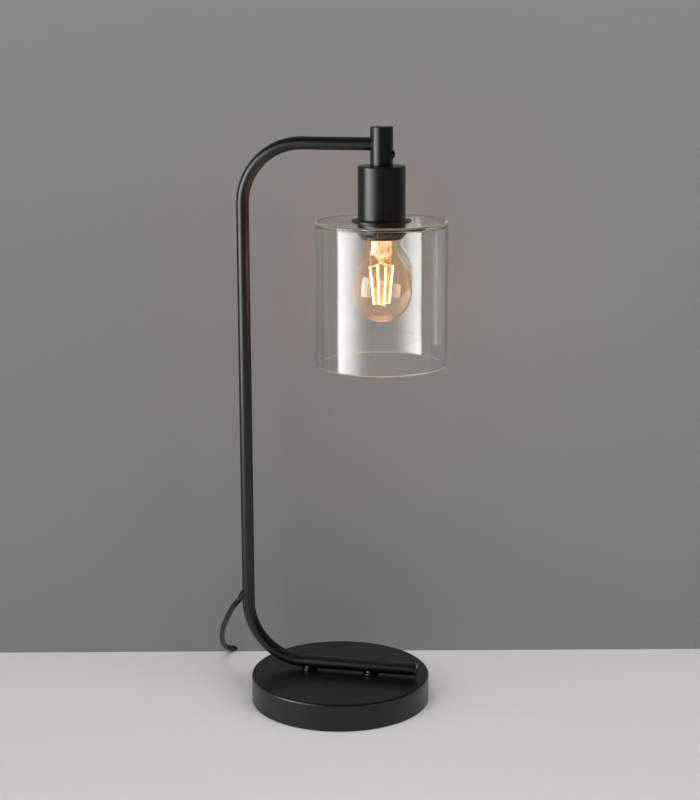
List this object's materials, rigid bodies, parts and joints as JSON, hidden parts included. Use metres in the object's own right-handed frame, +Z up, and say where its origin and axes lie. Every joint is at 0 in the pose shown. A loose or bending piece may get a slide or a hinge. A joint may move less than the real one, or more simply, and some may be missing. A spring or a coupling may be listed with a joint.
{
  "type": "table lamp",
  "caption": "Table lamp: round weighted base, bent steel stem, clear cylindrical glass shade hung from the arm, screw-in filament bulb, mains cord with in-line switch and plug.",
  "frame": {"origin": "middle of the base's underside, on the table", "axes": "+X along the foot tube towards the shade, +Y away from the viewer on the side where the cord lies, +Z up"},
  "size_m": [0.2572, 0.3314, 0.579],
  "materials": {
    "powder_coat": "satin-matt black powder coat",
    "iron": "rough cast",
    "foam": "matt foam rubber",
    "steel": "zinc plated",
    "dark_chrome": "dark polished plating",
    "end_plug": "glossy black",
    "gland_rubber": "matt black",
    "core_insulation": "smooth",
    "dark_steel": "blackened steel",
    "brass": "plain machined",
    "holder_plastic": "black moulded",
    "ceramic": "glazed white",
    "shade_glass": "clear, polished",
    "cap_metal": "rolled thread",
    "black_glass": "black glass",
    "solder": "dull solder",
    "bulb_glass": "clear, faint warm tint",
    "mount_glass": "clear",
    "lead_wire": "bright wire",
    "filament": "lit, warm white",
    "cord_sheath": "satin black sheath",
    "tie_strap": "woven strap",
    "switch_plastic": "finely textured black",
    "rocker_plastic": "glossy black",
    "plug_plastic": "satin black",
    "pin_metal": "nickel plated",
    "relief_rubber": "soft black"
  },
  "bodies": {
    "lamp": {"base_cover": "powder_coat", "base_weight": "iron", "base_pad": "foam", "base_screws": "steel", "base_washers": "steel", "foot_spacers": "dark_chrome", "thread_inserts": "steel", "stem_tube": "powder_coat", "tube_end_plug": "end_plug", "cord_gland": "gland_rubber", "inner_cores": "core_insulation", "head_post": "powder_coat", "post_screw": "dark_steel", "head_nipple": "brass", "nipple_nut": "brass", "holder_cup": "powder_coat", "holder_cap": "holder_plastic", "holder_skirt": "holder_plastic", "ceramic_block": "ceramic", "terminal_screws": "brass", "screw_shell": "brass", "centre_contact": "brass", "shade_collar": "powder_coat", "glass_shade": "shade_glass", "mains_cord": "cord_sheath", "cord_link": "cord_sheath", "cord_coil": "cord_sheath", "cord_tail": "cord_sheath", "cord_tie": "tie_strap", "switch_base": "switch_plastic", "switch_top": "switch_plastic", "switch_terminals": "brass", "switch_cores": "core_insulation", "switch_screws": "steel", "plug_body": "plug_plastic", "plug_pins": "pin_metal", "plug_relief": "relief_rubber"},
    "bulb": {"bulb_cap": "cap_metal", "bulb_insulator": "black_glass", "bulb_contact": "solder", "bulb_glass": "bulb_glass", "bulb_mount": "mount_glass", "bulb_leads": "lead_wire", "bulb_filaments": "filament"},
    "ring": {"shade_ring": "holder_plastic"},
    "rocker": {"switch_rocker": "rocker_plastic", "switch_bridge": "brass"}
  },
  "joints": [
    {"name": "rocker_tilt", "type": "hinge", "parent": "lamp", "child": "rocker", "pos_m": [-0.0558, 0.1429, 0.0149], "axis": [-0.2215, 0.9751, 0], "range_deg": [0, 18]},
    {"name": "bulb_turn", "type": "hinge", "parent": "lamp", "child": "bulb", "pos_m": [0.0425, 0, 0.4224], "axis": [0, 0, 1], "range_deg": [-1260, 0]},
    {"name": "ring_turn", "type": "hinge", "parent": "lamp", "child": "ring", "pos_m": [0.0425, 0, 0.4827], "axis": [0, 0, 1], "range_deg": [-720, 0]}
  ]
}
